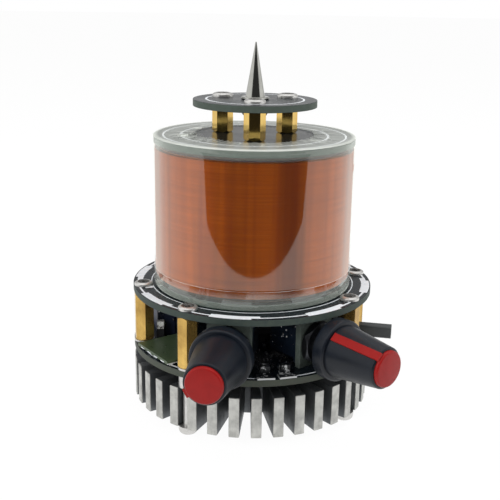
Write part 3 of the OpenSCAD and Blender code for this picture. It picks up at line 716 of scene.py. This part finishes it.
# %% [markdown]
# ## Parts that hardly show
# The former, the leads, the power transistors and the screws inside the coil are seen
# only through gaps, if at all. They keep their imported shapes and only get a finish.

# %% Finish the inner parts
INNER = {"coil_former": former_plastic, "component_leads": solder, "thermal_pads": pad_grey,
         "power_transistors": housing_black, "coil_mount_screws": nickel,
         "coil_mount_nuts": steel, "top_flange_screws": nickel}
for node, finish in INNER.items():
    frame["nodes"][node].data.materials.clear()
    frame["nodes"][node].data.materials.append(finish)
print("inner parts finished:", len(INNER))

# %% [markdown]
# ## Small surface parts
# The dark bays are full of small glints: chip resistors with tinned ends, and beads of
# solder. They stand on the driver board and on the potentiometers' inner sides. A list
# gives each chip's place and turn, and the beads are scattered over stated areas. A
# small can stands on a dark foot in the left bay; its near-white mottled colour is
# painted light that stands in for its reflections.

# %% Choose the small parts' places
SMALL_PARTS = [(-1.4, -10.4, 20), (1.2, -9.2, 95), (-2.9, -14.2, 0), (0.5, -14.9, 90),
               (1.9, -16.4, 10), (-3.2, -17.6, 80), (-0.6, -18.6, 0), (2.8, -19.6, 60),
               (-4.2, -21.2, 5), (0.2, -22.0, 90), (4.6, -21.6, 30), (1.6, -23.6, 0),
               (-1.2, -12.4, 0), (3.2, -17.2, 120), (-21.6, 0.1, 75), (-20.0, 0.5, 160),
               (-18.0, -0.2, 90), (-25.4, 8.0, 90), (-25.0, 10.2, 80), (-22.4, 15.4, 90),
               (25.6, 9.0, 90), (25.2, 11.4, 95), (12.4, 24.0, 0), (9.6, 25.6, 45),
               (-10.2, 25.2, 0), (-13.0, 23.6, 70)]
SMALL_CAN = ((-23.5, 0.2, 18.3), (1.7, 1.5, 1.9))
SMALL_CAN_FOOT = ((-23.5, 0.2, 15.95), (1.8, 1.6, 2.8))
CAN_TURN = 12
ON_BOARD = 14.65
SIDE_START, SIDE_RUN, SIDE_HEIGHTS = (1.15, -15.85), (4.2, -7.3), (15.8, 24.6)
MIDDLE_BAY = ((-4.6, 4.8), (-24.2, -12.0))
LEFT_WALL = ((-23.9, -19.4), 1.45, (15.0, 21.5))
LEFT_BAY = ((-24.6, -18.0), (-0.5, 1.2))
scatter = random.Random(11)
BEADS = []
for _ in range(20):
    along = scatter.random()
    BEADS.append((SIDE_START[0] + SIDE_RUN[0] * along, SIDE_START[1] + SIDE_RUN[1] * along,
                  scatter.uniform(*SIDE_HEIGHTS)))
for _ in range(30):
    BEADS.append((scatter.uniform(*MIDDLE_BAY[0]), scatter.uniform(*MIDDLE_BAY[1]), ON_BOARD))
for _ in range(7):
    BEADS.append((scatter.uniform(*LEFT_WALL[0]), LEFT_WALL[1], scatter.uniform(*LEFT_WALL[2])))
    BEADS.append((scatter.uniform(*LEFT_BAY[0]), scatter.uniform(*LEFT_BAY[1]), ON_BOARD))
print("chips:", len(SMALL_PARTS), "beads:", len(BEADS))

# %% [markdown]
# Each list becomes one mesh of boxes: the dark bodies, the tinned ends with the beads,
# and the small can.

# %% Build the small parts
CHIP = (1.05 * MM, 0.55 * MM, 0.36 * MM)
TIN_PLACE, TIN_LONG, TIN_GROWN = 0.86, 0.3, 1.06


def boxes(name, rows):
    """One mesh of boxes; a row is centre, size and turn round Z."""
    bpy.ops.object.select_all(action="DESELECT")
    bpy.ops.mesh.primitive_cube_add(size=1, location=(0, 0, 0))
    piece = bpy.context.object
    piece.name = name
    bpy.ops.object.mode_set(mode="EDIT")
    for number, (centre, size, turn_by) in enumerate(rows):
        if number:
            bpy.ops.mesh.select_all(action="DESELECT")
            bpy.ops.mesh.primitive_cube_add(size=1, location=(0, 0, 0))
        bpy.ops.transform.resize(value=size, center_override=(0, 0, 0))
        bpy.ops.transform.rotate(value=math.radians(turn_by), orient_axis="Z",
                                 center_override=(0, 0, 0))
        bpy.ops.transform.translate(value=centre)
    bpy.ops.object.mode_set(mode="OBJECT")
    return piece


bodies, ends = [], []
for x, y, turn_by in SMALL_PARTS:
    middle = Vector((x * MM, y * MM, driver_top + CHIP[2] / 2))
    along = Matrix.Rotation(math.radians(turn_by), 3, "Z") @ Vector((CHIP[0] / 2, 0, 0))
    bodies.append((middle, (CHIP[0], CHIP[1], CHIP[2]), turn_by))
    for side in (-1, 1):
        ends.append((middle + side * along * TIN_PLACE + Vector((0, 0, 0.01 * MM)),
                     (CHIP[0] * TIN_LONG, CHIP[1] * TIN_GROWN, CHIP[2] * TIN_GROWN), turn_by))
for x, y, z in BEADS:
    across = scatter.uniform(0.12, 0.34) * MM
    ends.append((Vector((x, y, z)) * MM, (across, across * scatter.uniform(0.6, 1.6), across),
                 scatter.uniform(0, 90)))
foot, can = [(Vector(place) * MM, Vector(size) * MM, CAN_TURN)
             for place, size in (SMALL_CAN_FOOT, SMALL_CAN)]
bodies.append(foot)
hand_over(boxes("chip_bodies", bodies), "base", housing_black)
hand_over(boxes("tinned_ends", ends), "base", solder)
hand_over(boxes("small_can", [can]), "base", tin_with_painted_light)
print("small boxes:", len(bodies) + len(ends) + 1)

# %% [markdown]
# ## Copper under amber enamel
# The winding is the heart of the object. Its wire is bright copper under clear brown
# enamel, so it is orange where it mirrors something bright and dark brown where it
# mirrors something dark. It is metal with a thin coat. Noise stretched round the coil
# tints the turns. Noise stretched upward paints broad darker and redder upright bands,
# which are painted reflections of the room, and the darkest painted reflection lies a
# little right of the front.

# %% Make the copper
# The broad upright bands and the deepest band are painted reflections of the room.
TURN_CHANGE, REFLECTION_BAND_CHANGE = (0.012, 2200), (0.11, 6)
DARK_REFLECTION_MIDDLE, DARK_REFLECTION_FULL, DARK_REFLECTION_END, DARK_REFLECTION_SHARE = 7, 3, 8, 0.6
copper, tree = start_finish("enamelled_copper")
angle_at = round_the_axis(tree)["Angle"]
height_at = split(tree, object_place(tree))[2]
turns_tone, reflection_bands = [
    noise_at(tree, vector_of(tree, times(tree, angle_at, by_angle),
                             z=times(tree, height_at, by_height)), 1.0, detail, rough)
    for (by_angle, by_height), detail, rough in ((TURN_CHANGE, 5, 0.7), (REFLECTION_BAND_CHANGE, 3, 0.6))]
reflection_redness = add(tree, "SeparateColor", {0: reflection_bands["Color"]}).outputs[1]
enamel = worn(tree, rgb(236, 130, 32), rgb(214, 110, 26), wear=0.4, rough=0.38, spread=0.08,
              patch=60, grain=2600)
tone = enamel["Colour"]
# The darker and redder upright bands are painted reflections of the room.
for pattern, floor, gain, share, colour in (
        (turns_tone["Fac"], 0.36, 2.6, 0.5, rgb(166, 76, 18)),
        (reflection_bands["Fac"], 0.42, 2.4, 0.65, rgb(150, 68, 18)),
        (reflection_redness, 0.5, 4.0, 0.5, rgb(178, 66, 38))):
    tone = blend_colours(tree, times(tree, above(tree, pattern, floor, gain), share), tone, colour)
# A painted dark reflection, a little right of the front.
from_dark_reflection = calc(tree, "ABSOLUTE", calc(tree, "SUBTRACT", angle_at, DARK_REFLECTION_MIDDLE))
dark_reflection = ramp(tree, from_dark_reflection, DARK_REFLECTION_FULL, DARK_REFLECTION_END, DARK_REFLECTION_SHARE, 0.0)
dress(tree, {
    "Base Color": blend_colours(tree, dark_reflection, tone, rgb(140, 54, 26)),
    "Roughness": enamel["Roughness"], "Metallic": 0.94,
    "Coat Weight": 0.4, "Coat Roughness": 0.12,
    "Normal": bump(tree, enamel["Height"], 0.000006)})
frame["nodes"]["secondary_core"].data.materials.clear()
frame["nodes"]["secondary_core"].data.materials.append(copper)
print("copper ready")

# %% [markdown]
# ## Wind the coil
# The real winding is one layer of hair-thin wire. It can be made as rings, but then it
# is no winding, or as a curve with a bevel, which is slow to build. The screw modifier
# is exact: a small four-sided ring beside the axis is turned round and lifted by one
# wire's width each turn, so the turns lie side by side as they do on the real coil.

# %% Wind it
WIRE, WIRE_RING = 0.2 * MM, 0.53
TURN_STEPS = 96
wound_low, wound_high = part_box("secondary_core")[0].z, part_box("secondary_core")[1].z
wound_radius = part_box("secondary_winding")[1].x - WIRE / 2
turn_count = int((wound_high - wound_low) / WIRE) - 1

winding = circle("fine_winding", 4, WIRE * WIRE_RING, (wound_radius, 0, wound_low + WIRE / 2),
                 rotation=(math.pi / 2, 0, 0))
screw = winding.modifiers.new("turns", "SCREW")
screw.axis = "Z"
screw.angle = 2 * math.pi
screw.screw_offset = WIRE
screw.iterations = turn_count
screw.steps = screw.render_steps = TURN_STEPS
bpy.ops.object.modifier_apply(modifier=screw.name)
edit_all()
bpy.ops.mesh.fill_holes(sides=4)
close_smooth()
hand_over(winding, "base", copper, ["secondary_winding"])
print(f"{turn_count} turns, {triangles(winding)} triangles")

# %% [markdown]
# ## The wire's loose end
# The winding's upper end comes out under the film at the coil's right, bends and lies
# flat on the turns. A small ring is extruded along a short path, place by place.

# %% Lay the wire's end
END_PATH = [(58, 63.7), (59.5, 62.9), (61, 61.6), (62, 60.2), (62.4, 58.9), (64, 58.2),
            (65.6, 58.8), (66, 60.0)]
LOOSE_WIRE = 0.085 * MM
end_radius = wound_radius + WIRE / 2 + 0.1 * MM


def on_winding(angle, height):
    """A place on the winding's outside; the angle is in degrees from the front."""
    around = math.radians(angle)
    return Vector((end_radius * math.sin(around), -end_radius * math.cos(around), height * MM))


wire_end = circle("wire_end", 8, LOOSE_WIRE, on_winding(*END_PATH[0]), fill_type="NGON")
edit_all()
for last, following in zip(END_PATH, END_PATH[1:]):
    step = on_winding(*following) - on_winding(*last)
    bpy.ops.mesh.extrude_region_move(TRANSFORM_OT_translate={"value": step})
close_smooth()
hand_over(wire_end, "base", copper)
print("wire's end:", triangles(wire_end), "triangles")

# %% [markdown]
# ## Clear film
# Shrunk film lies over the whole coil. It shows as what it mirrors, more and more
# towards the edges, and as a faint haze. A thin sheet bends no light, so glass is not
# needed. A white mirror whose opacity is the Fresnel share does it exactly: it lets
# through what it doesn't mirror. Only the outer side mirrors, because from within a
# sheet the Fresnel share stands for a solid block and turns it into a full mirror. The
# share has a limit, which keeps the coil's outline from turning white. Haze gathers on
# the seam, below it and on the fold, most of all in its creases. A band of white haze
# just under the upper flange is painted light that lifts the shade under the flange.

# %% Make the film's finish
FILM_INDEX = 1.5
SIDE_LAYERS, TOP_LAYERS, EDGE_SHARE = 2.1, 0.5, 0.4
FOLD_FROM = 0.6
RIDGE, RIDGE_WIDE = coil_low + 3.1 * MM, 0.16 * MM
LOW_PART = (RIDGE - 1.4 * MM, RIDGE - 0.1 * MM)
HIGH_PART = (coil_high - 1.1 * MM, coil_high - 0.3 * MM)
RIM_PART, CREASED_PART = (23.3, 24.2), (17.5, 21.5)
# The high haze is painted light that lifts the shade under the upper flange.
LOW_HAZE, UNDER_FLANGE_PAINTED_LIGHT, TOP_HAZE, RIM_HAZE, STREAK_HAZE = 0.1, 0.05, 0.09, 0.4, 0.016
CREASE_CHANGE, CREASE_FLOOR, CREASE_GAIN = (0.17, 0.14), 0.55, 3.2

film_look, tree = start_finish("clear_film")
place = object_place(tree)
height_at = split(tree, place)[2]
around = round_the_axis(tree)
geometry = add(tree, "NewGeometry").outputs
facing_up = calc(tree, "ABSOLUTE", split(tree, geometry["Normal"])[2])
on_top = calc(tree, "GREATER_THAN", facing_up, FOLD_FROM)
outside = calc(tree, "SUBTRACT", 1, geometry["Backfacing"])
layers = calc(tree, "SUBTRACT", SIDE_LAYERS, times(tree, on_top, SIDE_LAYERS - TOP_LAYERS))
fresnel = add(tree, "Fresnel", {"IOR": FILM_INDEX}).outputs[0]
mirror = calc(tree, "MINIMUM", times(tree, fresnel, layers), EDGE_SHARE)

drawn = add(tree, "Mapping", {"Vector": place, "Scale": (1, 1, 0.06)}).outputs[0]
streaks = noise_at(tree, drawn, 420, 4, 0.6)["Fac"]
seam = times(tree, band(tree, height_at, RIDGE, RIDGE_WIDE),
             total(tree, 0.1, times(tree, streaks, 0.35)))
low = ramp(tree, height_at, *LOW_PART, 1.0, 0.0)
# Painted light: white haze just under the upper flange lifts the shade there.
high = ramp(tree, height_at, *HIGH_PART, 0.0, 1.0)
at_rim = ramp(tree, around["Radius"], *RIM_PART, 0.0, RIM_HAZE)
crease_noise = noise_at(tree, vector_of(tree, times(tree, around["Angle"], CREASE_CHANGE[0]),
                                        times(tree, around["Radius"], CREASE_CHANGE[1])),
                        1.0, 3, 0.6)["Fac"]
creases = times(tree, above(tree, crease_noise, CREASE_FLOOR, CREASE_GAIN),
                ramp(tree, around["Radius"], *CREASED_PART, 1.0, 0.0))
fold = times(tree, on_top, total(tree, TOP_HAZE, at_rim, creases))
cloudy = either(tree, on_top, high, low)
haze = total(tree, times(tree, streaks, STREAK_HAZE), seam, times(tree, low, LOW_HAZE),
             times(tree, high, UNDER_FLANGE_PAINTED_LIGHT), fold)
dress(tree, {
    "Base Color": rgb(248, 252, 244),
    "Metallic": calc(tree, "SUBTRACT", 1, times(tree, cloudy, 0.6)),
    "Roughness": total(tree, times(tree, streaks, 0.05), 0.02, times(tree, on_top, 0.38)),
    "Alpha": calc(tree, "MULTIPLY", outside, total(tree, mirror, haze), clamp=True)})
print("film finish ready")

# %% [markdown]
# ## Shape the film
# The film is a tube with one edge folded over the top flange, where it crinkles as it
# shrinks into a smaller ring. A circle is added under the coil and extruded upward ring
# by ring, each ring scaled to its radius. The fold's points are then moved up and in by
# noise that follows the angle, more and more towards the opening.

# %% Extrude the film's rings
FILM_SIDES = 288
FILM_THICK = 0.12 * MM
FOLD_STEPS = 12
film_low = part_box("shrink_sleeve")[0].z
fold_z = flange_top + 0.1 * MM
opening = 14.6 * MM
rim = flange_rim + 0.18 * MM
wall = rim - 0.06 * MM
fold_start = rim - 0.4 * MM
stations = [(wall, film_low + 0.1 * MM), (wall, coil_low), (wall, RIDGE - 0.1 * MM),
            (wall + 0.05 * MM, RIDGE), (wall, RIDGE + 0.1 * MM), (wall, RIDGE + 0.3 * MM),
            (wall - 0.03 * MM, (coil_low + coil_high) / 2), (wall, coil_high - 1 * MM),
            (wall, coil_high + 0.2 * MM), (wall, flange_top - 0.35 * MM),
            (wall - 0.08 * MM, flange_top - 0.05 * MM), (fold_start, fold_z)]
stations += [(fold_start + (opening - fold_start) * k / FOLD_STEPS, fold_z)
             for k in range(1, FOLD_STEPS + 1)]
film = circle("clear_film", FILM_SIDES, stations[0][0], (0, 0, stations[0][1]))
edit_all()
for (last_r, last_z), (radius, height) in zip(stations, stations[1:]):
    bpy.ops.mesh.extrude_region_move(TRANSFORM_OT_translate={"value": (0, 0, height - last_z)})
    bpy.ops.transform.resize(value=(radius / last_r, radius / last_r, 1),
                             center_override=(0, 0, height))
bpy.ops.object.mode_set(mode="OBJECT")
print("film rings:", len(stations))

# %% [markdown]
# The crinkles: a value between 0 at the rim and 1 at the opening says how far along the
# fold a point is. Ridges run inward, and a few places are crumpled much more than others.

# %% Crinkle the fold
CRUMPLED, CRUMPLED_WITHIN = Vector((-0.94, -0.34, 0)), 0.14
WALL_WAVE = 0.012
LIFT_RIDGES, LIFT_CRUMPLE = 0.35, 1.1
PULL_RIDGES, PULL_CRUMPLE = 0.5, 0.9


def noise_round(ring, pace, x=0, y=0, z=0):
    """Noise that follows the angle round the coil; a greater pace makes it finer."""
    return noise.noise(ring * pace + Vector((x, y, z)))


for vertex in film.data.vertices:
    radius = math.hypot(vertex.co.x, vertex.co.y)
    angle = math.atan2(vertex.co.y, vertex.co.x)
    ring = Vector((math.cos(angle), math.sin(angle), 0))
    if vertex.co.z < fold_z - 0.01 * MM:
        vertex.co += ring * noise_round(ring, 6, z=vertex.co.z * 20) * WALL_WAVE * MM
        continue
    inward = min(1, max(0, (rim - radius) / (rim - opening)))
    ridges = noise_round(ring, 7) * 0.6 + noise_round(ring, 17, 3, 1, inward) * 0.5
    crumple = max(0, noise_round(ring, 2.3, 5, 2)) * 2.2
    crumple += 1.6 * max(0, ring.dot(CRUMPLED) - 1 + CRUMPLED_WITHIN) / CRUMPLED_WITHIN
    lift = abs(ridges) * LIFT_RIDGES + crumple * abs(noise_round(ring, 24)) * LIFT_CRUMPLE
    pull = ridges * PULL_RIDGES + crumple * noise_round(ring, 21) * PULL_CRUMPLE
    vertex.co.z += inward ** 1.6 * lift * MM
    vertex.co += ring * inward ** 3 * pull * MM
only(film)
thickness = film.modifiers.new("film thickness", "SOLIDIFY")
thickness.thickness = FILM_THICK
thickness.offset = -1
bpy.ops.object.modifier_apply(modifier=thickness.name)
bpy.ops.object.shade_smooth_by_angle(angle=math.radians(60))
hand_over(film, "base", film_look, ["shrink_sleeve"])
print("film:", triangles(film), "triangles")

# %% [markdown]
# ## Table
# The object stands on a plain white table. The table keeps a faint shadow: its colour
# is mostly white light of its own, and partly lit paint.

# %% Build the table
OWN_LIGHT = 0.94
table = circle("table", 96, 6, (0, 0, table_top), fill_type="NGON")
table_look, tree = start_finish("white_table")
seen = add(tree, "LightPath").outputs
watched = either(tree, seen["Is Camera Ray"], seen["Is Glossy Ray"], seen["Is Transmission Ray"])
paint = add(tree, "BsdfDiffuse", {"Color": (0.8, 0.8, 0.8, 1)})
glow = add(tree, "Emission", {"Color": (1, 1, 1, 1), "Strength": 1.02})
end_finish(tree, add(tree, "MixShader", {
    0: times(tree, watched, OWN_LIGHT), 1: paint.outputs[0], 2: glow.outputs[0]}))
table.data.materials.append(table_look)
print("table ready")

# %% [markdown]
# ## The dark room in front
# The photograph's darkest mirror image, the U on the coil, comes from the dark room in
# front of the table. A dark card that only reflections see does that. Its outline is in
# mm, in a frame that is turned with the camera; its near edges were worked out from the
# mirror law on the film.

# %% Lay the dark card
CARD_LIFT = 1 * MM
CARD_OUTLINE = [(-165, -141), (180, -135), (1284, -603), (1284, -3000), (-1197, -3000),
                (-1197, -705)]
card = circle("dark_card", 6, 1, fill_type="NGON")
swing = Matrix.Rotation(CAMERA_AZIMUTH, 3, "Z")
for vertex, (x, y) in zip(card.data.vertices, CARD_OUTLINE):
    vertex.co = swing @ Vector((x * MM, y * MM, table_top + CARD_LIFT))
card_look, tree = start_finish("dark_room")
end_finish(tree, add(tree, "BsdfDiffuse", {"Color": (0.02, 0.02, 0.022, 1)}))
card.data.materials.append(card_look)
for ray in ("camera", "diffuse", "shadow", "transmission"):
    setattr(card, "visible_" + ray, False)
print("dark card ready")

# %% [markdown]
# ## The white room
# The camera sees plain white all round, and painted surfaces are lit by a dimmer white.
# Mirrors see a dark room with bright zones overhead, at the left, at the right and
# behind the object, where the photograph's metal and film have their highlights. The
# zones are turned with the camera. A row says where a zone starts and ends along its
# axis, and how bright it is at both.

# %% Light the room
ROOM_LIGHT, GLOSS_DARK, GLOSS_TOP = 0.42, 0.05, 1.15
OVERHEAD = (0.5, 0.75, 0.0, 1.0)
FROM_LEFT, FROM_RIGHT = (-0.76, -0.6, 0.9, 0.0), (0.8, 0.9, 0.0, 0.9)
BEHIND, BEHIND_BY_HEIGHT = (0.1, 0.45, 0.0, 1.0), (0.08, 0.22, 0.62, 0.36)
bpy.context.scene.view_settings.view_transform = "Standard"
world = bpy.data.worlds.new("white_room")
bpy.context.scene.world = world
world.use_nodes = True
tree = world.node_tree
tree.nodes.clear()
seen = add(tree, "LightPath").outputs
x, y, z = split(tree, add(tree, "VectorRotate", {
    "Vector": add(tree, "TexCoord").outputs["Generated"],
    "Angle": -CAMERA_AZIMUTH}, rotation_type="Z_AXIS").outputs[0])
bright = either(tree, ramp(tree, z, *OVERHEAD, "SMOOTHSTEP"),
                ramp(tree, x, *FROM_LEFT, "SMOOTHSTEP"), ramp(tree, x, *FROM_RIGHT, "SMOOTHSTEP"),
                times(tree, ramp(tree, y, *BEHIND), ramp(tree, z, *BEHIND_BY_HEIGHT)))
mirrored = total(tree, GLOSS_DARK, times(tree, GLOSS_TOP - GLOSS_DARK, bright))
watched = calc(tree, "MAXIMUM", seen["Is Camera Ray"], seen["Is Transmission Ray"])
plain = total(tree, ROOM_LIGHT, times(tree, watched, 1 - ROOM_LIGHT))
sky = add(tree, "Background", {
    "Color": (1, 1, 1, 1), "Strength": blend_values(tree, seen["Is Glossy Ray"], plain, mirrored)})
tree.links.new(sky.outputs[0], tree.nodes.new("ShaderNodeOutputWorld").inputs[0])
print("room ready")

# %% [markdown]
# ## Lamps
# Three large soft lamps give the faint shadow and shape the dull surfaces. Mirrors don't
# see them. A row is a lamp's place in metres, its size and its power.

# %% Hang the lamps
COIL_MIDDLE = Vector((0, 0, 0.045))
LAMPS = {"left_box": ((-0.55, -0.35, 0.4), 0.45, 4.0),
         "right_box": ((0.6, -0.25, 0.35), 0.45, 3.0), "top_box": ((0.05, 0.1, 0.75), 0.5, 2.5)}
for name, (place, size, power) in LAMPS.items():
    lamp = bpy.data.lights.new(name, "AREA")
    lamp.shape = "SQUARE"
    lamp.size = size
    lamp.energy = power
    holder = bpy.data.objects.new(name, lamp)
    bpy.context.scene.collection.objects.link(holder)
    holder.location = place
    holder.rotation_euler = (COIL_MIDDLE - Vector(place)).to_track_quat("-Z", "Y").to_euler()
    holder.visible_glossy = False
print("lamps:", len(LAMPS))
